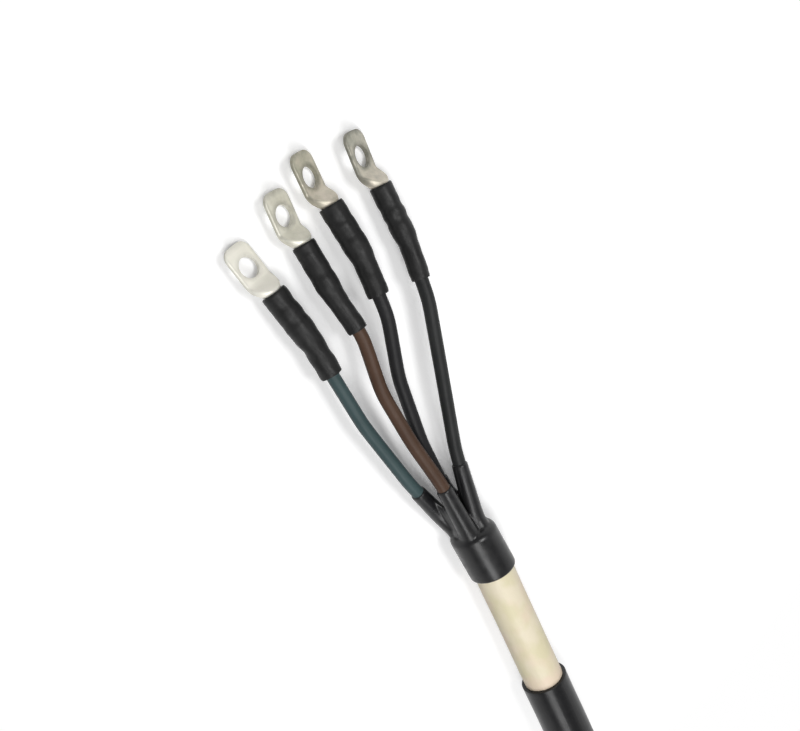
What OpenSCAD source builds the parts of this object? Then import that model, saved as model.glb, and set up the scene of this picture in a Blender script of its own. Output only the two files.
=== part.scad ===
// Four-core low-voltage cable termination: a sheathed cable cut back in steps, a breakout boot
// shrunk over the crotch, and four insulated cores that fan out to tinned lugs with shrunk sleeves.
// X runs along the cable from its cut end towards the lugs, Y is across the fan and Z is up.
// The origin is on the cable's axis in the plane of the cut end. Millimetres.

/* [Cable] */
// Outside diameter of the black outer sheath
sheath_d = 30.6; // [28.6:0.1:34]
// Length of outer sheath that is left on
sheath_len = 62; // [40:1:200]
// Outside diameter of the cream inner sheath
bedding_d = 25.8; // [24:0.1:27.6]
// Length of inner sheath that shows between outer sheath and boot
bedding_show = 87; // [40:1:160]
// Length of inner sheath that reaches into the boot
bedding_in_boot = 14; // [10:0.5:14]

/* [Cores] */
// Outside diameter of the insulation of one core
core_d = 8.2; // [7.8:0.1:8.4]
// Diameter of the stranded copper conductor
conductor_d = 6.4; // [5.4:0.1:6.8]
// Centre-line radius of every bend in a core
bend_r = 33; // [20:1:34]
// Turn of the four cores' lay about the cable's axis, in degrees
lay_turn = -45; // [-50:1:-40]

/* [Breakout boot] */
// Outside diameter of the boot's body
boot_d = 30.4; // [29.6:0.1:34]
// Length of the boot's body, from its open base to the root of the fingers
boot_body_len = 33; // [31:0.5:38]
// Rounding of the shoulder
shoulder_r = 5; // [3:0.5:6]
// Rounding of the base edge
base_edge_r = 1; // [0.5:0.1:1.5]
// Diameter of a finger where it leaves the body
finger_root_d = 12.2; // [11.6:0.1:13]
// Diameter of a finger at its tip
finger_tip_d = 10; // [9.6:0.1:11]
// Thickness of the boot's end wall, where the fingers join the body
boot_end_wall = 5; // [3:0.5:6]
// Sideways lean of the boot's body towards the blue-green core, in millimetres per millimetre
boot_lean = 0.07; // [0:0.01:0.08]

/* [Lugs] */
// Outside diameter of the lug's barrel
barrel_d = 10.4; // [9:0.1:11]
// Length of barrel under the sleeve
barrel_len = 26; // [20:1:27]
// Length of lug that shows past the sleeve
lug_show = 34.5; // [30:0.1:40]
// Length over which the barrel flattens into the palm
neck_len = 11; // [5:0.5:12]
// Width of the palm
palm_w = 19.8; // [17:0.1:22]
// Thickness of the palm
palm_t = 2.6; // [2:0.1:3.4]
// Rounding of the palm's two tip corners
palm_corner_r = 5; // [2:0.5:6]
// Diameter of the bolt hole
hole_d = 13; // [8.5:0.1:13.5]
// Distance from the tip to the middle of the bolt hole
hole_from_tip = 15; // [11:0.1:16]
// Across-flats size of each hexagonal crimp
crimp_af = 9.7; // [8.8:0.1:10]
// Length of one crimp
crimp_len = 6; // [4:0.5:8]

/* [Sleeves] */
// Length of each sleeve, from the lug back along the core
sleeve_len = 58; // [50:1:70]
// Wall of a shrunk sleeve
sleeve_wall = 1.95; // [0.8:0.05:2.4]
// Length of the step where a sleeve shrinks from the barrel down to the core
sleeve_step = 5; // [3:0.5:6]

/* [Fit] */
// Gap between pieces that lie in or on each other
fit_gap = 0.05; // [0.02:0.01:0.1]
// Gap between neighbouring cores inside the cable, and so the wall between the boot's passages
core_gap = 0.6; // [0.4:0.05:0.8]

/* [Hidden] */
boot_x = sheath_len + bedding_show;
core_r = core_d / 2;
// Four cores side by side: each centre lies this far from the cable's axis
core_offset = (core_d + core_gap) / sqrt(2);
// Distances of the two crimps back from the sleeve's mouth
crimp_places = [barrel_len * 0.35, barrel_len * 0.75];
// Thickness of the slices that lofts run through, and small edge roundings
slice_t = 0.05;
tip_round = 0.5;
mouth_round = 0.5;
// How far a cut reaches past the face it opens, and the play at the end of the inner sheath
cut_past = 1;
end_play = 0.5;
// Length of round barrel that shows before the neck, length of palm that the neck runs into, and
// reach of the dip over a crimp
neck_root = 1;
neck_set_in = 1;
dip_reach = 0.6 * crimp_len;
// Sides of round shapes: plain ones, the boot's body, its fingers, and swept tubes
smooth = 64;
body_sides = 48;
finger_sides = 24;
sides = 16;
// Largest turn between two stations of a bend, in degrees
arc_step = 9;
// How far fingers start inside the body, and how far past it the swell of their roots reaches
root_set_in = 2.5;
collar_len = 7;
collar_swell = 0.8;
// How far the webs between fingers reach past the body, and how far they lie inside the fingers
web_len = 6;
web_set_in = 1.3;

// Corner points of each core's route, in millimetres past the boot's base, left of the axis and
// above it. Every corner is rounded by bend_r. The last point is the lug's tip.
teal_route = [[46, 14.7, -6.8], [78, 24.2, 2.7], [126, 34.1, 5], [183, 39.4, 1],
    [252.1, 53.8, -5.87]];
brown_route = [[34, 5, 7.1], [72, 7.9, 11.2], [104, 13.2, 10], [140, 16.3, 8], [174, 11.9, 3.5],
    [203, 16.6, 0.5], [269.8, 22.3, -7.95]];
black_route = [[38, -3, -8.7], [60, 5.5, -3.5], [98, 6.8, -0.4], [142, 3.3, 4], [178, -6, 4.2],
    [216, -7.8, 0], [282.9, 0, -7.05]];
grey_route = [[36, -2.8, 1.7], [84, -9.9, -0.3], [122, -18.2, 4.8], [176, -31.7, 4],
    [212, -35.3, 0], [280.9, -33.1, -6.31]];

// One row per core: name, colour, place in the lay in degrees from +Y towards +Z, distance past
// the boot's base at which it first bends, reach of its finger, roll of its lug, lift of its palm,
// free route
CORES = [
    ["teal", "#3f5354", 0, 21, 74.5, 35, 0, teal_route],
    ["brown", "#5c483c", 90, 17, 70, 40, 10, brown_route],
    ["black", "#262626", 270, 18, 73, 46, 9, black_route],
    ["grey", "#39393a", 180, 17, 75.5, 47, 6, grey_route],
];
// Order of those rows round the cable
LAY_ORDER = [0, 1, 3, 2];
function core_name(c) = c[0];
function core_colour(c) = c[1];
function lay_angle(c) = c[2] + lay_turn;
function first_bend(c) = c[3];
function finger_reach(c) = c[4];
function lug_roll(c) = c[5];
function palm_lift(c) = c[6];
function free_route(c) = c[7];
function lay_y(c) = core_offset * cos(lay_angle(c));
function lay_z(c) = core_offset * sin(lay_angle(c));
function route(c) = concat(
    [[0, lay_y(c), lay_z(c)], [boot_x + first_bend(c), lay_y(c), lay_z(c)]],
    [for (p = free_route(c)) [boot_x + p[0], p[1], p[2]]]);

// A route is a polyline whose inner corners are rounded with bend_r. These functions give its
// directions, the turn at a corner, the length lost to a rounding and the distance along it.
function unit(v) = v / norm(v);
function heading(p, i) = unit(p[i + 1] - p[i]);
function turn(p, i) = acos(min(1, heading(p, i - 1) * heading(p, i)));
function is_corner(p, i) = i > 0 && i < len(p) - 1;
function trim(p, i) = is_corner(p, i) ? bend_r * tan(turn(p, i) / 2) : 0;
function arc_len(p, i) = is_corner(p, i) ? bend_r * turn(p, i) * PI / 180 : 0;
function straight_len(p, i) = norm(p[i + 1] - p[i]) - trim(p, i) - trim(p, i + 1);
function straight_start(p, i) =
    i == 0 ? 0 : straight_start(p, i - 1) + straight_len(p, i - 1) + arc_len(p, i);
function route_len(p) = straight_start(p, len(p) - 2) + straight_len(p, len(p) - 2);

// Frame of a lug: X along its direction, turned about it by a roll
function level_side(u) = unit(cross([0, 0, 1], u));
function frame(x, y, z, o) = [
    [x[0], y[0], z[0], o[0]], [x[1], y[1], z[1], o[1]], [x[2], y[2], z[2], o[2]], [0, 0, 0, 1]];
function rolled_side(u, roll) = cos(roll) * level_side(u) + sin(roll) * cross(u, level_side(u));
function lug_frame(u, roll, o) = frame(u, rolled_side(u, roll), cross(u, rolled_side(u, roll)), o);
function bend_axis(p, i) = unit(cross(heading(p, i - 1), heading(p, i)));
function bend_inward(p, i) = cross(bend_axis(p, i), heading(p, i - 1));
function bend_start(p, i) = p[i] - heading(p, i - 1) * trim(p, i);

// Sweeps are many-sided tubes. All pieces on one core share their stations, the ends of its finger
// and sleeve among them, and the turn of their sides, so that each nests in the next evenly.
function arc_stops(p, i) = let (n = ceil(turn(p, i) / arc_step))
    [for (k = [1 : 1 : n - 1]) straight_start(p, i) - arc_len(p, i) * (1 - k / n)];
function route_stops(p) = [for (i = [0 : len(p) - 2]) each concat(i == 0 ? [] : arc_stops(p, i),
    [straight_start(p, i), straight_start(p, i) + straight_len(p, i)])];
function bore_end(c) = boot_x + finger_reach(c) + cut_past;
function stations(c) = let (stops = route_stops(route(c)), a = bore_end(c), b = sleeve_from(c))
    concat([for (s = stops) if (s < a) s], [a], [for (s = stops) if (s > a && s < b) s], [b],
        [for (s = stops) if (s > b) s]);
function between(c, from, to) =
    concat([from], [for (s = stations(c)) if (s > from && s < to) s], [to]);

// Straight piece that ends at or after distance s, and the angle turned so far on the arc before it
function piece_at(p, s, i = 0) =
    i >= len(p) - 2 || s <= straight_start(p, i) + straight_len(p, i) ? i : piece_at(p, s, i + 1);
function turned(p, i, s) = (s - straight_start(p, i) + arc_len(p, i)) / bend_r * 180 / PI;
function on_arc(p, i, s) = i > 0 && s < straight_start(p, i);
function spot(p, s) = let (i = piece_at(p, s)) on_arc(p, i, s)
    ? bend_start(p, i) + bend_inward(p, i) * bend_r * (1 - cos(turned(p, i, s)))
        + heading(p, i - 1) * bend_r * sin(turned(p, i, s))
    : p[i] + heading(p, i) * (trim(p, i) + s - straight_start(p, i));
function aim(p, s) = let (i = piece_at(p, s)) on_arc(p, i, s)
    ? heading(p, i - 1) * cos(turned(p, i, s)) + bend_inward(p, i) * sin(turned(p, i, s))
    : heading(p, i);
function loop(p, s, r, n = sides) =
    let (c = spot(p, s), u = aim(p, s), y = level_side(u), z = cross(u, y))
    [for (k = [0 : n - 1]) c + r * (cos(k * 360 / n) * y + sin(k * 360 / n) * z)];

// Two triangles for the four corners a, b, c, d, clockwise seen from outside
function quad(a, b, c, d) = [[a, b, c], [a, c, d]];
// Skin between two loops of points that start at numbers a and b, and a flat ring between them
function skin(a, b, n = sides) = [for (k = [0 : n - 1]) let (next = (k + 1) % n)
    each quad(a + k, b + k, b + next, a + next)];

// Solid rod of n sides along a route: each row of the profile is a distance and a radius
module rod(p, profile, n = sides) {
    points = [for (row = profile) each loop(p, row[0], row[1], n)];
    rows = len(profile);
    polyhedron(points, concat([[for (k = [0 : n - 1]) k]],
        [for (j = [0 : rows - 2]) each skin(j * n, (j + 1) * n, n)],
        [[for (k = [n - 1 : -1 : 0]) (rows - 1) * n + k]]));
}

// Tube along a route: each row of the profile is a distance, an outer and an inner radius
module tube(p, profile) {
    n = len(profile);
    inner = n * sides;
    last = (n - 1) * sides;
    points = concat([for (row = profile) each loop(p, row[0], row[1])],
        [for (row = profile) each loop(p, row[0], row[2])]);
    polyhedron(points, concat(
        [for (j = [0 : n - 2]) each skin(j * sides, (j + 1) * sides)],
        [for (j = [0 : n - 2]) each skin(inner + (j + 1) * sides, inner + j * sides)],
        skin(inner, 0), skin(last, inner + last)));
}

module on_cable(x) translate([x, 0, 0]) rotate([0, 90, 0]) children();

module ring(outer_r, inner_r) difference() {
    circle(outer_r, $fn = smooth);
    circle(inner_r, $fn = smooth);
}

module lay_circles(r) for (c = CORES)
    translate([-lay_z(c), lay_y(c)]) circle(r, $fn = smooth);

module outer_sheath() color("#1c1c1c")
    on_cable(0) linear_extrude(sheath_len) ring(sheath_d / 2, bedding_d / 2 + fit_gap);

// The inner sheath fills the valleys between the cores, as extruded bedding does
module inner_sheath() color("#e6ddc4")
    on_cable(0) linear_extrude(boot_x + bedding_in_boot) difference() {
        circle(bedding_d / 2, $fn = smooth);
        lay_circles(core_r + fit_gap);
        rotate(45 + lay_turn) square(core_offset * sqrt(2), center = true);
    }

// The small cord that keeps the four cores apart in the middle of the lay
module centre_filler() color("#d8cfb8")
    on_cable(0) cylinder(h = boot_x + bedding_in_boot, r = core_offset - core_r - fit_gap, $fn = smooth);

// Radius of a finger at distance s along its core: full at the root, slim at the tip
function finger_r(c, s) = let (root = boot_x + boot_body_len, tip = boot_x + finger_reach(c))
    (finger_root_d + (finger_tip_d - finger_root_d) * max(0, s - root) / (tip - root)) / 2;

// Flat round outline across the route with a front and a back face, for a hull to run through
module slice(c, s, r) {
    front = [for (k = [0 : finger_sides - 1]) k];
    polyhedron(loop(route(c), s, r, finger_sides), [front, [for (k = front) finger_sides - 1 - k]]);
}

// A finger tapers along its core, and its tip has a small rounded edge
module finger(c) {
    tip = boot_x + finger_reach(c);
    rod(route(c), concat(
        [for (s = between(c, boot_x + boot_body_len - root_set_in, tip - tip_round))
            [s, finger_r(c, s)]],
        [[tip, finger_r(c, tip) - tip_round]]), finger_sides);
}

// A finger's root swells into the shoulder, and neighbours in the lay are joined by a web
module finger_collar(c) hull() {
    slice(c, boot_x + boot_body_len - root_set_in, finger_root_d / 2 + collar_swell);
    slice(c, boot_x + boot_body_len + collar_len, finger_root_d / 2 - collar_swell / 2);
}
module finger_web(a, b) hull() for (c = [a, b]) {
    slice(c, boot_x + boot_body_len - root_set_in, finger_root_d / 2 - web_set_in);
    slice(c, boot_x + boot_body_len + web_len, finger_root_d / 2 - 2 * web_set_in);
}

module boot_outline() {
    translate([0, base_edge_r]) square([boot_d / 2, boot_body_len - shoulder_r - base_edge_r]);
    square([boot_d / 2 - base_edge_r, boot_body_len - shoulder_r]);
    translate([boot_d / 2 - base_edge_r, base_edge_r]) circle(base_edge_r, $fn = finger_sides);
    square([boot_d / 2 - shoulder_r, boot_body_len]);
    translate([boot_d / 2 - shoulder_r, boot_body_len - shoulder_r])
        circle(shoulder_r, $fn = finger_sides);
}

// Hollow body over the end of the inner sheath, narrowing to the end wall that the cores pass
module boot_hollow() {
    inner_r = bedding_d / 2 + fit_gap;
    throat_r = core_offset;
    polygon([[0, -cut_past], [inner_r, -cut_past], [inner_r, bedding_in_boot + end_play],
        [throat_r, boot_body_len - boot_end_wall], [0, boot_body_len - boot_end_wall]]);
}

// The body leans as the cores inside it set off sideways. Its base stays square to the cable.
module leaning() multmatrix([[1, 0, 0, 0], [boot_lean, 1, 0, -boot_lean * boot_x], [0, 0, 1, 0]])
    children();

module breakout_boot() color("#262626") difference() {
    union() {
        leaning() on_cable(boot_x) rotate_extrude($fn = body_sides) boot_outline();
        for (k = [0 : 3]) {
            finger(CORES[k]);
            finger_collar(CORES[k]);
            finger_web(CORES[LAY_ORDER[k]], CORES[LAY_ORDER[(k + 1) % 4]]);
        }
    }
    on_cable(boot_x) rotate_extrude($fn = body_sides) boot_hollow();
    for (c = CORES)
        rod(route(c), [for (s = between(c, boot_x + bedding_in_boot, bore_end(c)))
            [s, core_r + fit_gap]]);
}

// Distances along a core's route: where its lug is bare, and where barrel and sleeve end
function bare_from(c) = route_len(route(c)) - lug_show;
function barrel_from(c) = bare_from(c) - barrel_len;
function sleeve_from(c) = bare_from(c) - sleeve_len;

module core_insulation(c) color(core_colour(c))
    tube(route(c), [for (s = between(c, 0, barrel_from(c) - fit_gap))
        [s, core_r, conductor_d / 2 + fit_gap]]);

module conductor(c) color("#b87548")
    rod(route(c), [for (s = between(c, 0, bare_from(c))) [s, conductor_d / 2]]);

// Lug outline in its own frame: X out past the tip, Z square to the palm, origin on the barrel's
// axis in the plane of the tip
module palm_plan() difference() {
    union() {
        translate([-lug_show + neck_len, -palm_w / 2])
            square([lug_show - neck_len - palm_corner_r, palm_w]);
        translate([-2 * palm_corner_r, -palm_w / 2 + palm_corner_r])
            square([2 * palm_corner_r, palm_w - 2 * palm_corner_r]);
        for (side = [-1, 1])
            translate([-palm_corner_r, side * (palm_w / 2 - palm_corner_r)])
                circle(palm_corner_r, $fn = smooth);
    }
    translate([-hole_from_tip, 0]) circle(d = hole_d, $fn = smooth);
}

module barrel_round() {
    barrel_end = lug_show + barrel_len;
    difference() {
        translate([-barrel_end, 0, 0]) rotate([0, 90, 0])
            cylinder(h = barrel_len + neck_root, d = barrel_d, $fn = smooth);
        for (x = crimp_places) translate([-lug_show - x - crimp_len / 2, 0, 0]) rotate([0, 90, 0])
            linear_extrude(crimp_len) difference() {
                circle(d = barrel_d + cut_past, $fn = smooth);
                circle(d = crimp_af / cos(30), $fn = 6);
            }
    }
}

// The palm may be bent up about the end of the neck
module lifted(lift) translate([-lug_show + neck_len, 0, -barrel_d / 2]) rotate([0, -lift, 0])
    translate([lug_show - neck_len, 0, 0]) children();

module lug_metal(lift) {
    lifted(lift) linear_extrude(palm_t) palm_plan();
    hull() {
        translate([-lug_show + neck_root - slice_t, 0, 0]) rotate([0, 90, 0])
            cylinder(h = slice_t, r = barrel_d / 2 - slice_t, $fn = body_sides);
        lifted(lift) translate([-lug_show + neck_len, -palm_w / 2 + slice_t, slice_t])
            cube([neck_set_in, palm_w - 2 * slice_t, palm_t - 2 * slice_t]);
    }
}

module lug(c) color("#c9c5b6") {
    p = route(c);
    last = len(p) - 1;
    multmatrix(lug_frame(heading(p, last - 1), lug_roll(c), p[last])) difference() {
        union() {
            barrel_round();
            lug_metal(palm_lift(c));
        }
        translate([-lug_show - barrel_len - cut_past, 0, 0]) rotate([0, 90, 0])
            cylinder(h = barrel_len + cut_past + fit_gap, d = conductor_d + 2 * fit_gap, $fn = smooth);
    }
}

// A sleeve hugs the core, steps up behind the barrel and is drawn in over both crimps. Its bore
// over the barrel is drawn through the middles of its sides, so that the round barrel clears it.
module lug_sleeve(c) color("#2b2b2b") {
    mouth = bare_from(c);
    barrel = barrel_from(c);
    foot = barrel - sleeve_step;
    core_bore = core_r + fit_gap;
    barrel_bore = (barrel_d / 2 + fit_gap) / cos(180 / sides);
    outer = barrel_bore + sleeve_wall;
    waist = outer - (barrel_d - crimp_af) / 2;
    crimps = [for (x = crimp_places) mouth - x];
    tube(route(c), concat(
        [for (s = between(c, sleeve_from(c), foot)) [s, core_bore + sleeve_wall, core_bore]],
        [[barrel - fit_gap, outer, barrel_bore]],
        [for (x = [crimps[1], crimps[0]]) each [[x - dip_reach, outer, barrel_bore],
            [x, waist, barrel_bore], [x + dip_reach, outer, barrel_bore]]],
        [[mouth - mouth_round, outer, barrel_bore], [mouth, outer - mouth_round, barrel_bore]]));
}

outer_sheath();
inner_sheath();
centre_filler();
breakout_boot();
for (c = CORES) {
    core_insulation(c);
    conductor(c);
    lug(c);
    lug_sleeve(c);
}
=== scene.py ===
"""Looks of a four-core cable termination: a stripped cable, a breakout boot, four cores and their lugs.

Everything is in metres in the part's own frame: X along the cable towards the lugs, Y across the
fan on the side of the blue-green core, Z up, with the origin in the plane of the cut end.
"""

import bpy
import numpy as np
from mathutils import Matrix


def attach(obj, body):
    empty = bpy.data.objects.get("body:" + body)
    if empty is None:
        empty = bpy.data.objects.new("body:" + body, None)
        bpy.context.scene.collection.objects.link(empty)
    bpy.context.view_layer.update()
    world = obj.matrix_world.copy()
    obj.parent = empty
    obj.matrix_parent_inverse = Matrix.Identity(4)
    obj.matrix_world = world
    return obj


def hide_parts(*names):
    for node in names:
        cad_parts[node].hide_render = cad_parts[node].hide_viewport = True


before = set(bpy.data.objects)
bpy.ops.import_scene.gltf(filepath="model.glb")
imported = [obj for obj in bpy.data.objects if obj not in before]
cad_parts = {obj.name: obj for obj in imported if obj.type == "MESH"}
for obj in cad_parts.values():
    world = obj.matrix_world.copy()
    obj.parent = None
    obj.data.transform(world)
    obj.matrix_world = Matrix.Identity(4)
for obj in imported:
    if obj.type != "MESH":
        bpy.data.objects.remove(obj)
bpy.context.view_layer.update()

# Sizes as in the part's source, but for the palm's corners, its edges and the table of sleeves
MM = 0.001
SHEATH_R = 15.3 * MM
SHEATH_LEN = 62 * MM
BEDDING_R = 12.9 * MM
BEDDING_SHOW = 87 * MM
BEDDING_IN_BOOT = 14 * MM
BOOT_X = SHEATH_LEN + BEDDING_SHOW
CORE_R = 4.1 * MM
CORE_GAP = 0.6 * MM
CONDUCTOR_R = 3.2 * MM
CORE_OFFSET = (2 * CORE_R + CORE_GAP) / 2**0.5
LAY_TURN = -45
BEND_R = 33 * MM
BOOT_R = 15.2 * MM
BOOT_BODY = 33 * MM
BOOT_LEAN = 0.07
SHOULDER_R = 5 * MM
END_WALL = 5 * MM
FINGER_ROOT_R = 6.1 * MM
FINGER_TIP_R = 5.0 * MM
ROOT_SET_IN = 2.5 * MM
BARREL_R = 5.2 * MM
BARREL_LEN = 26 * MM
LUG_SHOW = 34.5 * MM
NECK_LEN = 11 * MM
NECK_END = NECK_LEN - LUG_SHOW
PALM_HALF = 9.9 * MM
PALM_T = 2.6 * MM
PALM_CORNER = 6.5 * MM
PALM_EDGE_R = 1.0 * MM
HOLE_R = 6.5 * MM
HOLE_BACK = 15 * MM
SLEEVE_LEN = 58 * MM
FIT = 0.05 * MM
FLOOR_Z = -SHEATH_R

# Each sleeve: its wall, how deep it dips over a crimp, and how far the near and the far crimp lie
# behind the barrel's mouth, as shares of the barrel's length
SLEEVES = {
    "teal": (2.75 * MM, 0.28 * MM, 0.35, 0.75),
    "brown": (1.95 * MM, 0.28 * MM, 0.35, 0.75),
    "black": (2.45 * MM, 0.34 * MM, 0.40, 0.78),
    "grey": (1.65 * MM, 0.42 * MM, 0.50, 0.82),
}
# Half the length of a crimp's dip at its floor and at its foot, and how far behind the barrel a sleeve
# starts to rise
CRIMP_FLOOR, CRIMP_FOOT = 1.2 * MM, 2.6 * MM
SLEEVE_RISE = 12 * MM

# Each core, in degrees and millimetres: place in the lay, first bend and reach of its finger past the
# boot's base, roll of its lug, lift of its palm, and the corners of its free route past the boot's base
CORES = {
    "teal": (0, 21, 74.5, 35, 0,
             [(46, 14.7, -6.8), (78, 24.2, 2.7), (126, 34.1, 5), (183, 39.4, 1), (252.1, 53.8, -5.87)]),
    "brown": (90, 17, 70, 40, 10,
              [(34, 5, 7.1), (72, 7.9, 11.2), (104, 13.2, 10), (140, 16.3, 8), (174, 11.9, 3.5),
               (203, 16.6, 0.5), (269.8, 22.3, -7.95)]),
    "black": (270, 18, 73, 46, 9,
              [(38, -3, -8.7), (60, 5.5, -3.5), (98, 6.8, -0.4), (142, 3.3, 4), (178, -6, 4.2),
               (216, -7.8, 0), (282.9, 0, -7.05)]),
    "grey": (180, 17, 75.5, 47, 6,
             [(36, -2.8, 1.7), (84, -9.9, -0.3), (122, -18.2, 4.8), (176, -31.7, 4),
              (212, -35.3, 0), (280.9, -33.1, -6.31)]),
}
NEIGHBOURS = (("teal", "brown"), ("brown", "grey"), ("grey", "black"), ("black", "teal"))

# Camera and lamps. Each lamp: direction from the camera's target, distance, length, width and power
CAMERA_ELEVATION = np.radians(72)
CAMERA_AZIMUTH = np.radians(20)
CAMERA_ROLL = np.radians(-134.086)
CAMERA_DISTANCE = 0.6
CAMERA_TARGET = np.array([0.29629, -0.00095, 0.0])
CAMERA_CLIP = (0.05, 20)
LENS_MM, SENSOR_MM = 46, 36
LAMPS = {
    "window": ((0.05, -0.36, 0.93), 2.2, 0.8, 0.6, 22.0),
    "overhead": ((-0.436, 0.17, 0.876), 1.9, 1.9, 0.72, 22.5),
}
WORLD_LEVEL = 0.21


def unit(v):
    """Vectors along the last axis, scaled to length one."""
    return v / np.linalg.norm(v, axis=-1, keepdims=True)


def stand(name, data, right, up, away, spot):
    """An object at the spot, with X to its right, Y up and Z away from what it looks at."""
    holder = bpy.data.objects.new(name, data)
    bpy.context.scene.collection.objects.link(holder)
    matrix = np.eye(4)
    matrix[:3] = np.stack([right, up, away, spot], 1)
    holder.matrix_world = Matrix(matrix.tolist())
    return holder


def place_camera():
    """The camera looks at the target from its elevation and azimuth, then rolls about its own axis."""
    away = np.array([np.cos(CAMERA_ELEVATION) * np.cos(CAMERA_AZIMUTH),
                     np.cos(CAMERA_ELEVATION) * np.sin(CAMERA_AZIMUTH), np.sin(CAMERA_ELEVATION)])
    level = unit(np.cross(-away, (0, 0, 1)))
    upright = np.cross(level, -away)
    right = np.cos(CAMERA_ROLL) * level - np.sin(CAMERA_ROLL) * upright
    up = np.sin(CAMERA_ROLL) * level + np.cos(CAMERA_ROLL) * upright
    eye = bpy.data.cameras.new("photo_camera")
    eye.lens, eye.sensor_fit, eye.sensor_width = LENS_MM, "HORIZONTAL", SENSOR_MM
    eye.clip_start, eye.clip_end = CAMERA_CLIP
    spot = CAMERA_TARGET + away * CAMERA_DISTANCE
    bpy.context.scene.camera = stand("photo_camera", eye, right, up, away, spot)


place_camera()


# Shader maths
class Value:
    """A socket's value. Arithmetic on it adds Math nodes to its finish."""

    def __init__(self, finish, socket):
        self.finish, self.socket = finish, socket

    def _math(self, operation, first, second):
        return self.finish.node("ShaderNodeMath", {"operation": operation}, {0: first, 1: second})

    def __add__(self, other):
        return self._math("ADD", self, other)

    def __radd__(self, other):
        return self._math("ADD", other, self)

    def __sub__(self, other):
        return self._math("SUBTRACT", self, other)

    def __rsub__(self, other):
        return self._math("SUBTRACT", other, self)

    def __mul__(self, other):
        return self._math("MULTIPLY", self, other)

    def __rmul__(self, other):
        return self._math("MULTIPLY", other, self)

    def __pow__(self, other):
        return self._math("POWER", self, other)

    def at_most(self, high):
        return self._math("MINIMUM", self, high)


class Finish:
    """One material or world. node() adds any node, and the rest name the few patterns used here."""

    def __init__(self, name, kind=bpy.data.materials):
        self.material = kind.new(name)
        self.material.use_nodes = True
        self.tree = self.material.node_tree
        self.tree.nodes.clear()

    def node(self, kind, settings=None, sockets=None, out=0):
        """A node of that type, its settings first, then the values or links of its sockets."""
        made = self.tree.nodes.new(kind)
        for key, value in (settings or {}).items():
            setattr(made, key, value)
        for key, value in (sockets or {}).items():
            if isinstance(value, Value):
                self.tree.links.new(value.socket, made.inputs[key])
            elif isinstance(value, tuple) and made.inputs[key].type == "RGBA":
                made.inputs[key].default_value = (*value, 1)
            else:
                made.inputs[key].default_value = value
        return Value(self, made.outputs[out]) if made.outputs else None

    def vectors(self, operation, first, second, out="Value"):
        """Vector maths on two vectors."""
        return self.node("ShaderNodeVectorMath", {"operation": operation}, {0: first, 1: second}, out)

    def spot(self):
        """Object coordinates in metres."""
        return self.node("ShaderNodeTexCoord", out="Object")

    def place(self, stretch=(1, 1, 1)):
        """Object coordinates, each axis scaled."""
        return self.node("ShaderNodeMapping", {}, {"Vector": self.spot(), "Scale": stretch})

    def along(self, stretch=(1, 1, 1)):
        """The piece's own map, scaled: metres along it, metres round it."""
        own = self.node("ShaderNodeUVMap", {"uv_map": "UVMap"})
        return self.node("ShaderNodeMapping", {}, {"Vector": own, "Scale": stretch})

    def noise(self, where, scale, detail=3, roughness=0.55):
        """Soft lumps from 0 to 1, about as many a unit of the place as the scale says."""
        return self.node("ShaderNodeTexNoise", {}, {"Vector": where, "Scale": scale, "Detail": detail,
                                                   "Roughness": roughness})

    def between(self, amount, low, high):
        """Colour that goes from low to high as amount goes from 0 to 1."""
        return self.node("ShaderNodeMix", {"data_type": "RGBA"}, {0: amount, 6: low, 7: high}, out=2)

    def span(self, value, low, high, to_low=0.0, to_high=1.0):
        """value mapped from low..high to to_low..to_high, and held there."""
        return self.node("ShaderNodeMapRange", {"clamp": True},
                         {0: value, 1: low, 2: high, 3: to_low, 4: to_high})

    def bump(self, height, depth):
        """A normal tilted by the height, which stands for that depth in metres."""
        return self.node("ShaderNodeBump", {}, {"Height": height, "Distance": depth, "Strength": 1.0})

    def shine(self, **sockets):
        """Finishes the material with one Principled shader."""
        names = {key.replace("_", " ").title().replace("Ior", "IOR"): value
                 for key, value in sockets.items()}
        shader = self.node("ShaderNodeBsdfPrincipled", {}, names)
        self.node("ShaderNodeOutputMaterial", {}, {"Surface": shader})
        return self.material


def core_insulation_finish(name, colour, light):
    """Extruded insulation: fine lengthwise drawing marks and slow changes of tone."""
    f = Finish(name)
    tone = f.noise(f.place(), scale=55)
    drawn = f.noise(f.along((12, 1400, 1)), scale=1, detail=2)
    colour_here = f.between(f.span(tone, 0.3, 0.7), colour, light)
    scuff = f.span(f.noise(f.place(), scale=420, detail=4, roughness=0.6), 0.45, 0.75, 0.0, 0.10)
    grain = f.noise(f.place(), scale=2600, detail=2)
    return f.shine(base_color=colour_here, roughness=scuff + 0.46, specular_ior_level=0.22,
                   normal=f.bump(drawn * 0.6 + grain * 0.4, depth=0.05 * MM))


def shrunk_plastic_finish(name, dark, light, roughness, level, grain_scale, depth):
    """Heat-shrunk plastic: soft sheen, a faint orange-peel, and slow ripples from the hot air."""
    f = Finish(name)
    tone = f.noise(f.place(), scale=90)
    peel = f.noise(f.place(), grain_scale, roughness=0.5)
    ripple = f.noise(f.place(), scale=160, detail=2)
    dust = f.span(f.noise(f.place(), scale=900, detail=5, roughness=0.7), 0.55, 0.8, 0.0, 0.25)
    colour_here = f.between(f.span(tone, 0.3, 0.75) * 0.7 + dust, dark, light)
    rough = f.span(ripple, 0.3, 0.7, roughness - 0.06, roughness + 0.08)
    return f.shine(base_color=colour_here, roughness=rough, specular_ior_level=level,
                   normal=f.bump(peel * 0.35 + ripple, depth))


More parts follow.
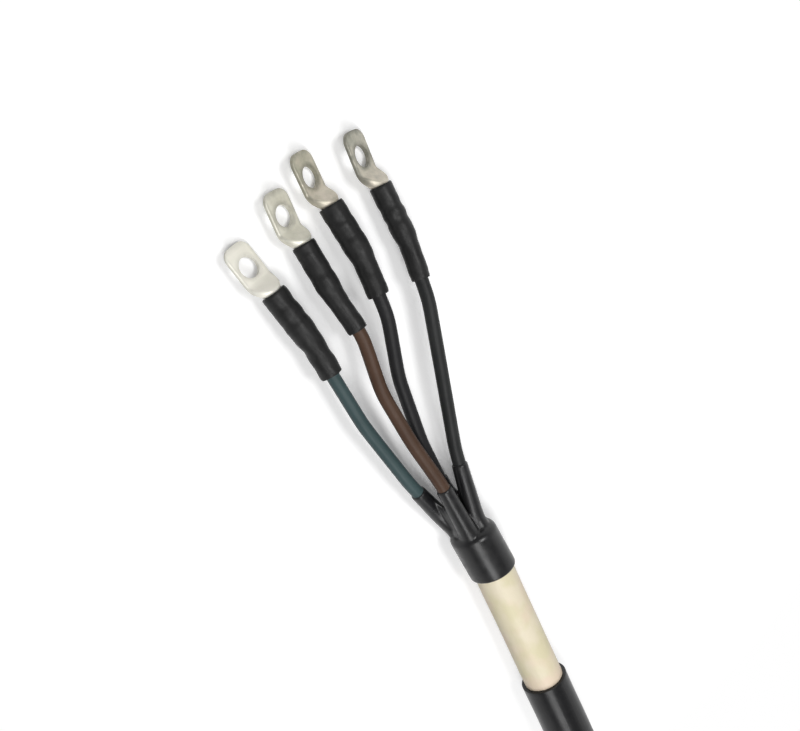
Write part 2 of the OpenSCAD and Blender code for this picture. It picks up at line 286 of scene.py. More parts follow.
def bedding_finish():
    """Cream inner sheath: blotches of pink, straw and pale green, and lengthwise handling marks."""
    f = Finish("cream_bedding")
    blotch = f.noise(f.place((1, 1.3, 1.3)), scale=62, roughness=0.5)
    second = f.noise(f.place((1.1, 1, 1)), scale=47, detail=2, roughness=0.5)
    straw = f.between(f.span(blotch, 0.36, 0.62), (0.695, 0.635, 0.425), (0.765, 0.69, 0.525))
    mottled = f.between(f.span(second, 0.42, 0.62, 0, 0.85), straw, (0.765, 0.625, 0.49))
    dulled = f.noise(f.place((0.25, 3, 3)), scale=260, detail=4, roughness=0.65)
    worn = f.between(f.span(dulled, 0.52, 0.78, 0.0, 0.20), mottled, (0.58, 0.52, 0.37))
    grain = f.noise(f.place(), scale=1500)
    return f.shine(base_color=worn, roughness=f.span(grain, 0.3, 0.7, 0.46, 0.58),
                   normal=f.bump(grain * 0.4 + blotch, depth=0.12 * MM))


def outer_sheath_finish():
    """Black outer sheath: smoother than the boot, with drawing lines along the cable."""
    f = Finish("black_sheath")
    lines = f.noise(f.place((14, 700, 700)), scale=1)
    tone = f.noise(f.place(), scale=70)
    scuff = f.noise(f.place((1, 2, 2)), scale=380, detail=5, roughness=0.65)
    colour_here = f.between(f.span(scuff, 0.5, 0.8, 0, 0.5),
                            (0.0075, 0.0075, 0.0085), (0.021, 0.021, 0.022))
    return f.shine(base_color=colour_here, roughness=f.span(tone, 0.3, 0.7, 0.28, 0.36),
                   specular_ior_level=0.34, normal=f.bump(lines, depth=0.06 * MM))


def tinned_finish(name, pale, dull, metal, aged_and_shaded, tip, along, across):
    """Tinned copper: satin metal with roll marks along the lug, clouding and small dark pits.

    The rims of the palm and of the bolt hole darken over their last 2 to 4 mm, in patches: partly tarnish,
    partly painted shade where the edges and the hole's wall turn from the light. How far in a point lies
    is taken on the palm's own two axes, measured from the tip: x = along.(p - tip) and y = across.(p -
    tip).
    """
    f = Finish(name + "_lug_tin")
    from_tip = f.vectors("SUBTRACT", f.spot(), tuple(tip), "Vector")
    x, y = (f.vectors("DOT_PRODUCT", from_tip, tuple(axis)) for axis in (along, across))
    cloud = f.noise(f.place(), scale=190, detail=4, roughness=0.6)
    rolled = f.noise(f.along((70, 2300, 1)), scale=1, roughness=0.6)
    pits = f.span(f.noise(f.place(), scale=1500, detail=4, roughness=0.7), 0.62, 0.78)
    hole = ((x + HOLE_BACK) ** 2 + y * y) ** 0.5
    hole_rim = 1 - f.span(hole, HOLE_R + 0.3 * MM, HOLE_R + 2.8 * MM)
    side_rim = f.span(y * y, (PALM_HALF - 2.4 * MM) ** 2, (PALM_HALF - 0.3 * MM) ** 2)
    tip_rim = f.span(x, -4 * MM, -0.3 * MM)
    # Rim darkening: partly tarnish, partly painted shade on the palm's edges, its tip and the bolt hole's
    # wall
    rim = (hole_rim + side_rim + tip_rim) * f.span(cloud, 0.2, 0.6, 0.4 * aged_and_shaded, aged_and_shaded)
    # Duller in patches and towards the tip
    dulled = f.span(cloud, 0.32, 0.7) * 0.55 + f.span(x, -28 * MM, -6 * MM) * 0.45
    colour_here = f.between(dulled, pale, dull)
    # Pits and rims go towards this darker tin: tarnish, and painted shade on the rims
    tarnish_and_shade = tuple(0.45 * c for c in dull)
    return f.shine(base_color=f.between((pits * 0.45 + rim).at_most(0.85), colour_here, tarnish_and_shade),
                   metallic=metal, roughness=f.span(cloud, 0.3, 0.7, 0.40, 0.54) + pits * 0.1,
                   normal=f.bump(rolled * 0.5 + cloud, depth=0.09 * MM))


def copper_finish():
    """Drawn copper strands, bright on the saw cut and browner along the wire."""
    f = Finish("copper_strand")
    tone = f.noise(f.place(), scale=700, detail=4, roughness=0.6)
    drawn = f.noise(f.along((30, 3000, 1)), scale=1, detail=2)
    return f.shine(base_color=f.between(f.span(tone, 0.35, 0.7), (0.72, 0.33, 0.18), (0.50, 0.21, 0.11)),
                   metallic=0.95, roughness=f.span(tone, 0.3, 0.7, 0.28, 0.42),
                   normal=f.bump(drawn, depth=0.04 * MM))


def filler_finish():
    """Pale centre cord, slightly fibrous."""
    f = Finish("pale_filler")
    fibre = f.noise(f.place((40, 900, 900)), scale=1)
    return f.shine(base_color=f.between(fibre, (0.52, 0.48, 0.38), (0.66, 0.61, 0.49)),
                   roughness=f.span(fibre, 0.3, 0.7, 0.6, 0.75), normal=f.bump(fibre, depth=0.1 * MM))


FINISH = {
    "teal": core_insulation_finish("blue_green_pvc", (0.038, 0.064, 0.067), (0.050, 0.080, 0.083)),
    "brown": core_insulation_finish("brown_pvc", (0.062, 0.033, 0.020), (0.086, 0.048, 0.031)),
    "black": core_insulation_finish("black_pvc", (0.010, 0.010, 0.011), (0.018, 0.018, 0.019)),
    "grey": core_insulation_finish("dark_grey_pvc", (0.013, 0.014, 0.014), (0.023, 0.024, 0.024)),
    "boot": shrunk_plastic_finish("black_boot", (0.007, 0.007, 0.008), (0.015, 0.015, 0.015),
                                  roughness=0.33, level=0.42, grain_scale=1500, depth=0.10 * MM),
    "sleeve": shrunk_plastic_finish("black_sleeve", (0.010, 0.010, 0.010), (0.024, 0.024, 0.024),
                                    roughness=0.43, level=0.23, grain_scale=1900, depth=0.18 * MM),
    "bedding": bedding_finish(),
    "sheath": outer_sheath_finish(),
    "copper": copper_finish(),
    "filler": filler_finish(),
}
# Each lug's tin: its colour in clean places and in dull ones, how metallic it is, and how far its rims
# darken. The lugs share one tin; these rows make each lug brighter or darker as painted light and shade.
LUG_TINS_LIT_AND_SHADED = {
    "teal": ((0.99, 0.96, 0.86), (0.93, 0.91, 0.80), 0.20, 0.40),
    "brown": ((0.93, 0.91, 0.79), (0.72, 0.70, 0.59), 0.38, 0.55),
    "black": ((0.75, 0.68, 0.57), (0.48, 0.47, 0.36), 0.50, 0.75),
    "grey": ((0.70, 0.64, 0.53), (0.35, 0.35, 0.29), 0.50, 0.80),
}


# Lines and surfaces
def rows_at(where, s, rows):
    """Rows that lie at the distances s, read evenly between them at the distances asked for."""
    return np.stack([np.interp(where, s, column) for column in rows.T], 1)


def bell_mean(padded, width, reach):
    """Each row's mean with the rows round it, weighed by exp(-(k/width)^2/2) for a row k away.

    padded has as many rows more at each end as the bell reaches.
    """
    weights = np.exp(-0.5 * (np.arange(-reach, reach + 1) / width) ** 2)
    return np.apply_along_axis(np.convolve, 0, padded, weights / weights.sum(), "valid")


class Line:
    """A centre line through points, with a level side vector and an up vector all along it."""

    def __init__(self, points):
        self.points = points
        steps = np.linalg.norm(np.diff(points, axis=0), axis=1)
        self.s = np.concatenate([[0], np.cumsum(steps)])
        self.length = self.s[-1]
        self.tangent = unit(np.gradient(points, self.s, axis=0))

    def at(self, s):
        """Point, tangent, side and up at the distances s. It goes on straight past its ends."""
        s = np.atleast_1d(s)
        over = np.clip(s - self.length, 0, None) + np.clip(s, None, 0)
        tangent = unit(rows_at(s, self.s, self.tangent))
        side = unit(np.cross((0, 0, 1), tangent))
        point = rows_at(s, self.s, self.points) + over[:, None] * tangent
        return point, tangent, side, np.cross(tangent, side)


def stations(start, end, step):
    """Distances from start to end in equal steps of about the given length."""
    return np.linspace(start, end, max(2, int(round((end - start) / step)) + 1))


def rounded_line(corners, radius, arc_points=12, bell=4, reach=9):
    """A polyline with each corner replaced by an arc of the radius, then lightly smoothed.

    The arc starts radius*tan(turn/2) before the corner. A point on it lies at
    start + inward*radius*(1 - cos a) + heading*radius*sin a, with a from 0 to the turn. The points
    are then set a millimetre apart and smoothed with a bell of that many points. Each end goes on as
    its own half turn about the end point, so the ends stay where they are.
    """
    corners = np.asarray(corners, float)
    heading = unit(np.diff(corners, axis=0))
    parts = [corners[:1]]
    for before, after, corner in zip(heading, heading[1:], corners[1:]):
        turn = np.arccos(np.clip(before @ after, -1, 1))
        inward = unit(after - before * (before @ after))
        a = np.linspace(0, turn, arc_points)[:, None]
        start = corner - before * radius * np.tan(turn / 2)
        parts.append(start + inward * radius * (1 - np.cos(a)) + before * radius * np.sin(a))
    points = np.vstack(parts + [corners[-1:]])
    s = np.concatenate([[0], np.cumsum(np.linalg.norm(np.diff(points, axis=0), axis=1))])
    points = rows_at(np.linspace(0, s[-1], int(s[-1] / MM)), s, points)
    lead = 2 * points[0] - points[reach:0:-1]
    tail = 2 * points[-1] - points[-2:-reach - 2:-1]
    return bell_mean(np.vstack([lead, points, tail]), bell, reach)


def core_route(name):
    """Corner points of one core in metres: straight in the lay, then its free route."""
    place, first_bend, _, _, _, free = CORES[name]
    angle = np.radians(place + LAY_TURN)
    y, z = CORE_OFFSET * np.cos(angle), CORE_OFFSET * np.sin(angle)
    return [(0, y, z), (BOOT_X + first_bend * MM, y, z)] + [
        (BOOT_X + p[0] * MM, p[1] * MM, p[2] * MM) for p in free]


LINES = {name: Line(rounded_line(core_route(name), BEND_R)) for name in CORES}


def field(items, name, kind=float, width=1):
    """One field of all of a mesh's points, corners or faces, as an array."""
    values = np.zeros(len(items) * width, kind)
    items.foreach_get(name, values)
    return values if width == 1 else values.reshape(-1, width)


def shade(mesh, sharp_angle):
    """Smooth shading, except along edges sharper than the angle in degrees."""
    mesh.polygons.foreach_set("use_smooth", np.ones(len(mesh.polygons), bool))
    mesh.set_sharp_from_angle(angle=np.radians(sharp_angle))


def piece_from(name, points, faces, finish, uv=None, sharp_angle=40):
    """A piece from points, faces and, where it has a map of its own, that map."""
    mesh = bpy.data.meshes.new(name)
    mesh.from_pydata(points.tolist(), [], faces)
    mesh.update()
    if uv is not None:
        layer = mesh.uv_layers.new(name="UVMap")
        corners = field(mesh.loops, "vertex_index", int)
        layer.data.foreach_set("uv", uv[corners].astype(np.float32).ravel())
    shade(mesh, sharp_angle)
    mesh.materials.append(finish)
    piece = bpy.data.objects.new(name, mesh)
    bpy.context.scene.collection.objects.link(piece)
    return piece


def grid_faces(rows, columns, closed_rows=False):
    """Quads over a grid whose columns wrap round, and whose rows wrap round where they are closed."""
    i = np.arange(rows if closed_rows else rows - 1)[:, None]
    j = np.arange(columns)[None, :]
    a, b = i * columns + j, i * columns + (j + 1) % columns
    down = ((i + 1) % rows) * columns
    return np.stack([a, b, down + (j + 1) % columns, down + j], -1).reshape(-1, 4).tolist()


def capped_faces(rows, columns):
    """The grid's quads, with one flat face over its first row and one over its last."""
    first, last = range(columns), range((rows - 1) * columns, rows * columns)
    return grid_faces(rows, columns) + [list(first)[::-1], list(last)]


def swept(name, line, s, radius, finish, sides=32, closed=False, sharp_angle=40):
    """A round surface along a line: point = centre(s) + radius*(cos t*side + sin t*up).

    s and radius give one row each, and radius may also change round the row. A closed profile
    joins its last row to its first, as a tube's outer and inner walls do. An open one gets flat
    ends. Its map holds metres along the line, and metres round a core.
    """
    s, radius = np.asarray(s, float), np.asarray(radius, float)
    if radius.ndim == 1:
        radius = radius[:, None]
    t = np.linspace(0, 2 * np.pi, sides, endpoint=False)
    centre, _, side, up = line.at(s)
    around = np.cos(t)[None, :, None] * side[:, None, :] + np.sin(t)[None, :, None] * up[:, None, :]
    points = centre[:, None, :] + radius[..., None] * around
    faces = grid_faces(len(s), sides, True) if closed else capped_faces(len(s), sides)
    uv = np.stack(np.broadcast_arrays(s[:, None], (t * CORE_R)[None, :]), -1).reshape(-1, 2)
    return piece_from(name, points.reshape(-1, 3), faces, finish, uv, sharp_angle)


def straight(start, end, count=60):
    """A line along X on the cable's axis."""
    return Line(np.stack([np.linspace(start, end, count), np.zeros(count), np.zeros(count)], 1))


CABLE_AXIS = straight(0, BOOT_X + 50 * MM)


def softened(values, width):
    """Rows smoothed with a bell of that many rows, ends held."""
    reach = 3 * width
    padded = np.concatenate([np.repeat(values[:1], reach, 0), values, np.repeat(values[-1:], reach, 0)])
    return bell_mean(padded, width, reach)


def ripples(s, sides, seed, length, height, waves=7):
    """Gentle unevenness of a shrunk skin: a few waves along it and round it, drawn from the seed.

    It is height/sqrt(waves) times the sum of sin(2 pi s/wave + lobes*t + phase).
    """
    dice = np.random.default_rng(seed)
    t = np.linspace(0, 2 * np.pi, sides, endpoint=False)[None, :]
    total = np.zeros((len(s), sides))
    for _ in range(waves):
        wave, lobes = length * dice.uniform(0.6, 1.8), dice.integers(0, 4)
        total += np.sin(2 * np.pi * s[:, None] / wave + lobes * t + dice.uniform(0, 6.3))
    return total * height / waves**0.5


def joined(name, pieces, finish):
    """One piece from several, for shapes that a later step fuses."""
    points, faces, start = [], [], 0
    for piece in pieces:
        mesh = piece.data
        corners = field(mesh.loops, "vertex_index", int) + start
        firsts = field(mesh.polygons, "loop_start", int)
        faces += [face.tolist() for face in np.split(corners, firsts[1:])]
        points.append(field(mesh.vertices, "co", width=3))
        start += len(mesh.vertices)
        bpy.data.objects.remove(piece)
    return piece_from(name, np.vstack(points), faces, finish)


def applied(piece):
    """Makes the piece's modifiers part of its mesh."""
    depsgraph = bpy.context.evaluated_depsgraph_get()
    mesh = bpy.data.meshes.new_from_object(piece.evaluated_get(depsgraph))
    piece.modifiers.clear()
    piece.data = mesh


def cut_away(piece, cutters, solver):
    """Takes the cutters out of the piece, and removes them."""
    for cutter in cutters:
        cut = piece.modifiers.new("cut", "BOOLEAN")
        cut.operation, cut.solver, cut.object = "DIFFERENCE", solver, cutter
    applied(piece)
    for cutter in cutters:
        bpy.data.objects.remove(cutter)


# Free cores: they leave the boot's fingers and end in the lugs
def core_ends(name):
    """Distances along a core: mouth of its finger, back end of its barrel, and mouth of its sleeve."""
    line = LINES[name]
    return BOOT_X + CORES[name][2] * MM, line.length - LUG_SHOW - BARREL_LEN, line.length - LUG_SHOW


def make_core(name, set_in=3 * MM):
    """Insulation in two pieces, both round the core's line: the free core, which starts a little
    inside its finger and ends at the barrel, and the part inside the cable, a tube."""
    line = LINES[name]
    mouth, barrel, _ = core_ends(name)
    split = mouth - set_in
    s = stations(split, barrel - FIT, 1.5 * MM)
    free = swept(name + "_core", line, s, np.full(len(s), CORE_R), FINISH[name])
    s = stations(0, split, 2.5 * MM)
    ring = np.concatenate([s, s[::-1]])
    radius = np.repeat([CORE_R, CONDUCTOR_R + FIT], len(s))
    inside = swept(name + "_core_in_cable", line, ring, radius, FINISH[name], closed=True)
    path = line.at(stations(mouth, barrel - FIT, 2 * MM))[0]
    return free, inside, path


def make_sleeve(name, seed, sides=48):
    """Shrunk sleeve: a closed wall whose outside follows the core, steps up behind the barrel, dips
    over both crimps and is drawn in at its ends.

    The outside is read from the profile's distances and radii, smoothed, then rippled. The inside
    goes evenly from the core to the barrel.
    """
    line = LINES[name]
    _, barrel, mouth = core_ends(name)
    foot = mouth - SLEEVE_LEN
    s = stations(foot, mouth, 0.5 * MM)
    wall, dip, near, far = SLEEVES[name]
    core_out, barrel_out = CORE_R + FIT + wall, BARREL_R + FIT + wall
    near, far = mouth - BARREL_LEN * near, mouth - BARREL_LEN * far
    profile = [(foot, core_out), (barrel - SLEEVE_RISE, core_out),
               (barrel - 2 * MM, barrel_out), (barrel + 2 * MM, barrel_out + 0.1 * MM),
               (far - CRIMP_FOOT, barrel_out + 0.1 * MM), (far - CRIMP_FLOOR, barrel_out - dip),
               (far + CRIMP_FLOOR, barrel_out - dip), (far + CRIMP_FOOT, barrel_out + 0.05 * MM),
               (near - CRIMP_FOOT, barrel_out), (near - CRIMP_FLOOR, barrel_out - dip),
               (near + CRIMP_FLOOR, barrel_out - dip), (near + CRIMP_FOOT, barrel_out),
               (mouth, barrel_out - 0.05 * MM)]
    outer = softened(np.interp(s, *np.transpose(profile)), 2)[:, None]
    outer = outer + ripples(s, sides, seed, length=10 * MM, height=0.11 * MM)
    drawn_in = np.array([[0.45], [0.18], [0.05]])
    outer[:3] -= drawn_in * 0.6 * MM
    outer[-3:] -= drawn_in[::-1] * 0.8 * MM
    inner = np.interp(s, [barrel - 5 * MM, barrel - FIT], [CORE_R + FIT, BARREL_R + FIT])
    ring = np.concatenate([s, s[::-1]])
    radius = np.concatenate([outer, np.repeat(inner[::-1, None], sides, 1)])
    return swept(name + "_shrunk_sleeve", line, ring, radius, FINISH["sleeve"], sides, closed=True,
                 sharp_angle=60)


def lug_frame(name):
    """Origin at the tip on the barrel's axis, X along the lug, Z square to the palm's top face."""
    line = LINES[name]
    tip, along, side, up = (v[0] for v in line.at(line.length))
    roll = np.radians(CORES[name][3])
    across = np.cos(roll) * side + np.sin(roll) * up
    return tip, along, across, np.cross(along, across)


def lug_points(name, x, y, z, turn):
    """Points of the lug's own frame, turned up about the neck's end and put in the part's frame."""
    tip, along, across, square = lug_frame(name)
    out, high = x - NECK_END, z + BARREL_R
    x = NECK_END + out * np.cos(turn) - high * np.sin(turn)
    z = out * np.sin(turn) + high * np.cos(turn) - BARREL_R
    return tip + x[..., None] * along + y[..., None] * across + z[..., None] * square


def eased(x, low, high):
    """0 below low, 1 above high, and a smooth rise between."""
    t = np.clip((x - low) / (high - low), 0, 1)
    return t * t * (3 - 2 * t)


def lug_rows():
    """The lug's sections: where each lies, its half width a, half height b and corner radius r.

    They go from a circle in the barrel to a flat palm. b falls on an eased curve, a rises as
    sin^0.6, and at the palm's corners a loses R - sqrt(R^2 - (R + x)^2).
    """
    x = np.concatenate([[-(LUG_SHOW + BARREL_LEN)],
                        np.linspace(-LUG_SHOW - 1 * MM, NECK_END + 2 * MM, 30),
                        np.linspace(NECK_END + 3 * MM, -PALM_CORNER, 8),
                        -PALM_CORNER * (1 - np.sin(np.linspace(0.12, 1.0, 12) * np.pi / 2))])
    flat = eased(x, -LUG_SHOW + 0.6 * MM, NECK_END)
    wide = np.sin(np.pi / 2 * np.clip((x + LUG_SHOW) / (NECK_LEN + 1 * MM), 0, 1)) ** 0.6
    corner = np.clip(PALM_CORNER + x, 0, None)
    plan = PALM_CORNER - np.sqrt(np.clip(PALM_CORNER**2 - corner**2, 0, None))
    a = BARREL_R + (PALM_HALF - BARREL_R) * wide - plan
    b = BARREL_R + (PALM_T / 2 - BARREL_R) * flat
    r = np.minimum(np.minimum(a, b), b * (1 - flat) + PALM_EDGE_R * flat)
    return x, a, b, r


def make_lug(name):
    """Tinned lug, a tube pressed flat at its end, with a bolt hole cut through and its edges broken.

    Each section is a rounded rectangle, y = right*(a - r) + r cos t and z = top*(b - r) + r sin t,
    raised by b less the barrel's radius so that its underside stays level. Past the neck the palm is
    turned up by its lift.
    """
    x, a, b, r = lug_rows()
    turns = np.linspace(0, np.pi / 2, 10)
    t = np.concatenate([turns + quarter * np.pi / 2 for quarter in range(4)])
    right = np.repeat([1, -1, -1, 1], len(turns))
    top = np.repeat([1, 1, -1, -1], len(turns))
    y = right * (a - r)[:, None] + r[:, None] * np.cos(t)
    z = top * (b - r)[:, None] + r[:, None] * np.sin(t) + (b - BARREL_R)[:, None]
    lift = np.radians(CORES[name][4])
    turn = lift * eased(x, NECK_END - 1.5 * MM, NECK_END + 1 * MM)
    points = lug_points(name, *np.broadcast_arrays(x[:, None], y, z), turn[:, None])
    uv = np.stack(np.broadcast_arrays(x[:, None], y), -1).reshape(-1, 2)
    _, along, across, square = lug_frame(name)
    palm_end = lug_points(name, *np.zeros((3, 1)), lift)[0]
    palm_along = np.cos(lift) * along + np.sin(lift) * square
    # The lug's own row of tin colours, which carries painted light and shade for this lug
    finish = tinned_finish(name, *LUG_TINS_LIT_AND_SHADED[name], palm_end, palm_along, across)
    lug = piece_from(name + "_tinned_lug", points.reshape(-1, 3), capped_faces(*y.shape), finish, uv)
    depth = PALM_T / 2 - BARREL_R + np.linspace(-4, 4, 9) * MM
    punch_line = Line(lug_points(name, np.full(9, -HOLE_BACK), np.zeros(9), depth, lift))
    punch = swept("punch", punch_line, [0, 8 * MM], np.full(2, HOLE_R), finish, sides=72)
    cut_away(lug, [punch], "EXACT")
    broken = lug.modifiers.new("broken_edges", "BEVEL")
    broken.width, broken.segments = 0.35 * MM, 3
    broken.limit_method, broken.angle_limit = "ANGLE", np.radians(50)
    applied(lug)
    lug.data.set_sharp_from_angle(angle=np.radians(35))
    return lug


def make_strands(name, lay=90 * MM):
    """Seven drawn wires, each a third of the conductor: one in the middle and six round it.

    Wire k's centre lies two wire radii out, at the angle 2 pi s/lay + 60 degrees*k.
    """
    line = LINES[name]
    wire = CONDUCTOR_R / 3
    s = stations(0, line.length - LUG_SHOW - 1 * MM, 4 * MM)
    centre, _, side, up = line.at(s)
    wires = []
    for k in range(7):
        turn = 2 * np.pi * s / lay + k * np.pi / 3
        out = 0 if k == 6 else 2 * wire
        path = Line(centre + out * (np.cos(turn)[:, None] * side + np.sin(turn)[:, None] * up))
        wires.append(swept("wire", path, path.s, np.full(len(s), wire * 0.99), FINISH["copper"], sides=10))
    return joined(name + "_strands", wires, FINISH["copper"])


# Breakout boot
def boot_finger(name, swell_len=7 * MM):
    """A tapered finger: its radius falls evenly from root to tip, swells at the root and is rounded
    off over the last half millimetre."""
    root, tip = BOOT_X + BOOT_BODY, BOOT_X + CORES[name][2] * MM
    s = np.append(stations(root - ROOT_SET_IN, tip - 0.5 * MM, 1.2 * MM), [tip - 0.15 * MM, tip])
    radius = FINGER_ROOT_R + (FINGER_TIP_R - FINGER_ROOT_R) * np.clip((s - root) / (tip - root), 0, 1)
    swell = FINGER_ROOT_R + np.interp(s - root, [-ROOT_SET_IN, swell_len], [0.8 * MM, -0.4 * MM])
    radius = np.where(s < root + swell_len, np.maximum(radius, swell), radius)
    radius[-2:] -= np.array([0.12, 0.45]) * MM
    return swept(name + "_finger", LINES[name], s, radius, FINISH["boot"], sides=40)


def finger_web(first, second, share, reach=8 * MM, out=0.0, tail=7 * MM):
    """A rod that lies between two neighbouring fingers, at a share of the way across.

    Its radius is the finger's less a loss that grows along it, times the square root of what is left
    of its tail. Its root may be moved out from the boot's axis, and it then dives back in.
    """
    root = BOOT_X + BOOT_BODY
    s = stations(root - ROOT_SET_IN, root + reach, 1.2 * MM)
    points = (1 - share) * LINES[first].at(s)[0] + share * LINES[second].at(s)[0]
    outwards = unit(points[0] * (0, 1, 1))
    middle = Line(points + out * np.linspace(1, -0.4, len(s))[:, None] * outwards)
    loss = np.interp(s - root, [-ROOT_SET_IN, 6 * MM, 28 * MM], [1.3 * MM, 2.6 * MM, 5 * MM])
    radius = (FINGER_ROOT_R - loss) * np.sqrt(np.clip((s[-1] - s) / tail, 0.05, 1))
    return swept("web", middle, middle.s, radius, FINISH["boot"], sides=40)


def boot_body(lip=1.0 * MM, rows=8):
    """The boot's turned body, which leans a little.

    Its outline is x = e(1 - cos a), r = R - e + e sin a at the lip of the base, a cylinder, and a
    quarter round at the shoulder. Its lean is a shear: y grows by BOOT_LEAN per unit of length.
    """
    edge, bend = np.linspace(0, np.pi / 2, 6), np.linspace(0, np.pi / 2, 14)
    x = np.concatenate([lip * (1 - np.cos(edge)),
                        np.linspace(2 * MM, BOOT_BODY - SHOULDER_R - 1 * MM, rows),
                        BOOT_BODY - SHOULDER_R + SHOULDER_R * np.sin(bend)])
    r = np.concatenate([BOOT_R - lip + lip * np.sin(edge), np.full(rows, BOOT_R),
                        BOOT_R - SHOULDER_R + SHOULDER_R * np.cos(bend)])
    body = swept("boot_body", straight(BOOT_X, BOOT_X + BOOT_BODY), x, r, FINISH["boot"], sides=96)
    points = field(body.data.vertices, "co", width=3)
    points[:, 1] += BOOT_LEAN * (points[:, 0] - BOOT_X)
    body.data.vertices.foreach_set("co", points.ravel())
    return body


def make_boot(cell=0.42 * MM, blending=20):
    """Breakout boot: body, four tapered fingers along the cores and the webs between them, fused on
    a fine grid of cells and smoothed, so that the valleys fill as a moulding's do. Then it is
    hollowed for the inner sheath and the cores.
    """
    parts = [boot_body()] + [boot_finger(name) for name in CORES]
    for first, second in NEIGHBOURS:
        parts += [finger_web(first, second, share) for share in (0.25, 0.5, 0.75)]
    # The wide web between the blue-green and the brown finger has a hollow free edge
    parts += [finger_web("teal", "brown", share, reach=(22 + 50 * abs(share - 0.5)) * MM)
              for share in np.linspace(0.22, 0.78, 15)]
    parts += [finger_web("teal", "brown", share, reach=12 * MM, out=2.2 * MM)
              for share in (0.35, 0.5, 0.65)]
    boot = joined("boot_skin", parts, FINISH["boot"])
    fuse = boot.modifiers.new("fused", "REMESH")
    fuse.mode, fuse.voxel_size = "VOXEL", cell
    blend = boot.modifiers.new("blended", "SMOOTH")
    blend.factor, blend.iterations = 0.5, blending
    applied(boot)
    s = [-1 * MM, BEDDING_IN_BOOT + 0.5 * MM, BOOT_BODY - END_WALL]
    cutters = [swept("hollow", straight(BOOT_X, BOOT_X + 60 * MM), s,
                     [BEDDING_R + FIT, BEDDING_R + FIT, CORE_OFFSET], FINISH["boot"], sides=96)]
    for name in CORES:
        s = stations(BOOT_X + BEDDING_IN_BOOT, BOOT_X + (CORES[name][2] + 3) * MM, 1.5 * MM)
        cutters.append(swept("bore", LINES[name], s, np.full(len(s), CORE_R + FIT), FINISH["boot"], 40))
    cut_away(boot, cutters, "MANIFOLD")
    shade(boot.data, 50)
    return boot


# Sheaths
def make_outer_sheath(edge=0.35 * MM, rows=30, sides=128):
    """A closed wall turned about the axis, rippled a little between its ends.

    At both ends its outside is rounded: R - e + e sin a, at e(1 - cos a) from the end.
    """
    quarter = np.linspace(0, np.pi / 2, 5)
    inner = BEDDING_R + FIT
    s = np.concatenate([edge - edge * np.cos(quarter), np.linspace(3 * MM, SHEATH_LEN - 3 * MM, rows),
                        SHEATH_LEN - edge + edge * np.sin(quarter), [SHEATH_LEN, 0]])
    r = np.concatenate([SHEATH_R - edge + edge * np.sin(quarter), np.full(rows, SHEATH_R),
                        SHEATH_R - edge + edge * np.cos(quarter), [inner, inner]])
    wobble = np.zeros((len(s), sides))
    middle = slice(len(quarter), len(quarter) + rows)
    wobble[middle] = ripples(s[middle], sides, 21, length=50 * MM, height=0.05 * MM) - 0.05 * MM
    return swept("sheath_skin", CABLE_AXIS, s, r[:, None] + wobble, FINISH["sheath"], sides, closed=True,
                 sharp_angle=35)


def make_bedding(rows=90, sides=192):
    """Inner sheath: round outside with slight swellings where it shows, and inside it follows the
    four cores.

    At angle t the inner wall is the furthest crossing of the ray with the four core circles,
    d*cos(t - lay) + sqrt(r^2 - d^2*sin^2(t - lay)), or the square between their centres.
    """
    t = np.linspace(0, 2 * np.pi, sides, endpoint=False)
    bore = CORE_R + FIT
    turned = t - np.radians(LAY_TURN + np.array([[0], [90], [180], [270]]))
    ahead, beside = CORE_OFFSET * np.cos(turned), CORE_OFFSET * np.sin(turned)
    crossing = ahead + np.sqrt(np.clip(bore**2 - beside**2, 0, None))
    met = (ahead > 0) & (np.abs(beside) <= bore)
    square = CORE_OFFSET / (np.abs(np.cos(turned[0])) + np.abs(np.sin(turned[0])))
    inner = np.maximum(np.where(met, crossing, 0).max(axis=0), square)
    s = np.linspace(0, BOOT_X + BEDDING_IN_BOOT, rows)
    swell = ripples(s, sides, 5, length=60 * MM, height=0.07 * MM)
    swell[(s < SHEATH_LEN + 1 * MM) | (s > BOOT_X - 1 * MM)] = 0
    swell = softened(np.minimum(swell, 0.1 * MM), 2)
    ring = np.concatenate([s, s[::-1]])
    radius = np.concatenate([BEDDING_R + swell * (s > SHEATH_LEN)[:, None],
                             np.repeat(inner[None, :], rows, 0)])
    return swept("bedding_skin", CABLE_AXIS, ring, radius, FINISH["bedding"], sides, closed=True)


def fit_piece(piece, slot, *nodes):
    """Puts the piece on the one body, in place of the nodes. The slot is not used."""
    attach(piece, "root")
    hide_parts(*nodes)


for seed, name in enumerate(CORES, 1):
    core, inside, path = make_core(name)
    sleeve, lug = make_sleeve(name, seed), make_lug(name)
    fit_piece(core, name + "_core", name + "_insulation")
    fit_piece(inside, name + "_core", name + "_insulation")
    fit_piece(sleeve, "sleeve", name + "_lug_sleeve")
    fit_piece(lug, "tinned_lug", name + "_lug")
    fit_piece(make_strands(name), "copper", name + "_conductor")

fit_piece(make_boot(), "boot", "breakout_boot")
fit_piece(make_outer_sheath(), "outer_sheath", "outer_sheath")
fit_piece(make_bedding(), "inner_sheath", "inner_sheath")
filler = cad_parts["centre_filler"]
filler.data.materials.clear()
filler.data.materials.append(FINISH["filler"])


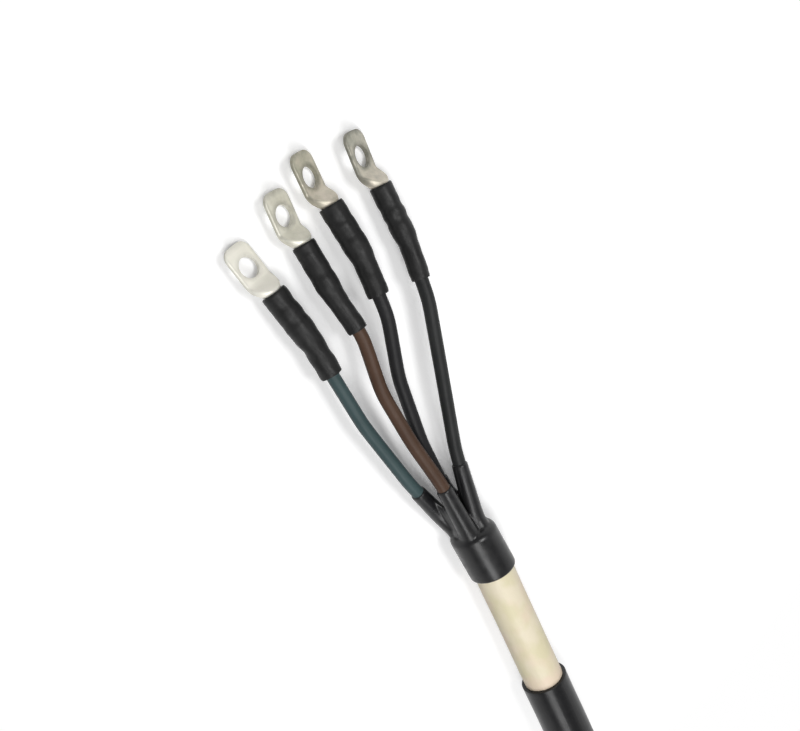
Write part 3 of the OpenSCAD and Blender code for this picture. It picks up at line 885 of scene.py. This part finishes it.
# Floor, world and lamps
def floor_finish():
    """White for what looks at it, and in reflections; greyer as a source of bounced light.

    Up to 120 mm from the camera's target the white is a lit surface that takes shadows. Out to
    340 mm it becomes an even glow.
    """
    f = Finish("white_floor")
    looked_at = sum(f.node("ShaderNodeLightPath", out=f"Is {ray} Ray")
                    for ray in ("Camera", "Glossy", "Transmission"))
    far = f.vectors("DISTANCE", f.spot(), tuple(CAMERA_TARGET))
    grey = f.node("ShaderNodeBsdfDiffuse", {}, {"Color": (0.45, 0.45, 0.46)})
    white = f.node("ShaderNodeBsdfDiffuse", {}, {"Color": (0.99, 0.99, 0.99)})
    faint = f.node("ShaderNodeEmission", {}, {"Color": (1.0, 1.0, 1.0), "Strength": 0.13})
    glow = f.node("ShaderNodeEmission", {}, {"Color": (1.0, 1.0, 1.0), "Strength": 1.0})
    near = f.node("ShaderNodeAddShader", {}, {0: white, 1: faint})
    shown = f.node("ShaderNodeMixShader", {}, {0: f.span(far, 0.12, 0.34), 1: near, 2: glow})
    both = f.node("ShaderNodeMixShader", {}, {0: looked_at.at_most(1.0), 1: grey, 2: shown})
    f.node("ShaderNodeOutputMaterial", {}, {"Surface": both})
    return f.material


def make_floor(flat=2.4, bend=0.5, top=1.3, sides=96):
    """Floor and backdrop in one, in metres: a flat disc whose rim turns up in a quarter round,
    radius = flat + bend*sin a and height = bend*(1 - cos a), to a low round wall."""
    t = np.linspace(0, 2 * np.pi, sides, endpoint=False)
    a = np.linspace(0, np.pi / 2, 12)
    radius = np.concatenate([[0.01, 0.8], flat + bend * np.sin(a), [flat + bend]])
    height = FLOOR_Z + np.concatenate([[0, 0], bend * (1 - np.cos(a)), [top]])
    points = np.stack([radius[:, None] * np.cos(t), radius[:, None] * np.sin(t),
                       np.repeat(height[:, None], sides, 1)], -1).reshape(-1, 3)
    faces = [face[::-1] for face in grid_faces(len(radius), sides)] + [list(range(sides))]
    floor = piece_from("floor", points, faces, floor_finish())


def add_lamp(name, direction, distance, length, width, power):
    """A soft lamp that looks at the camera's target, its long side along the cable."""
    lamp = bpy.data.lights.new(name, "AREA")
    lamp.shape, lamp.size, lamp.size_y, lamp.energy = "RECTANGLE", length, width, power
    away = unit(np.asarray(direction, float))
    up = unit(np.cross(away, (1, 0, 0)))
    stand(name, lamp, np.cross(up, away), up, away, CAMERA_TARGET + away * distance)


def light_world():
    """A dim even light from all round."""
    w = Finish("studio", bpy.data.worlds)
    dim = w.node("ShaderNodeBackground", {}, {"Color": (1.0, 1.0, 1.0), "Strength": WORLD_LEVEL})
    w.node("ShaderNodeOutputWorld", {}, {"Surface": dim})
    bpy.context.scene.world = w.material


make_floor()
light_world()
for name, lamp in LAMPS.items():
    add_lamp(name, *lamp)
bpy.context.scene.view_settings.view_transform = "Standard"
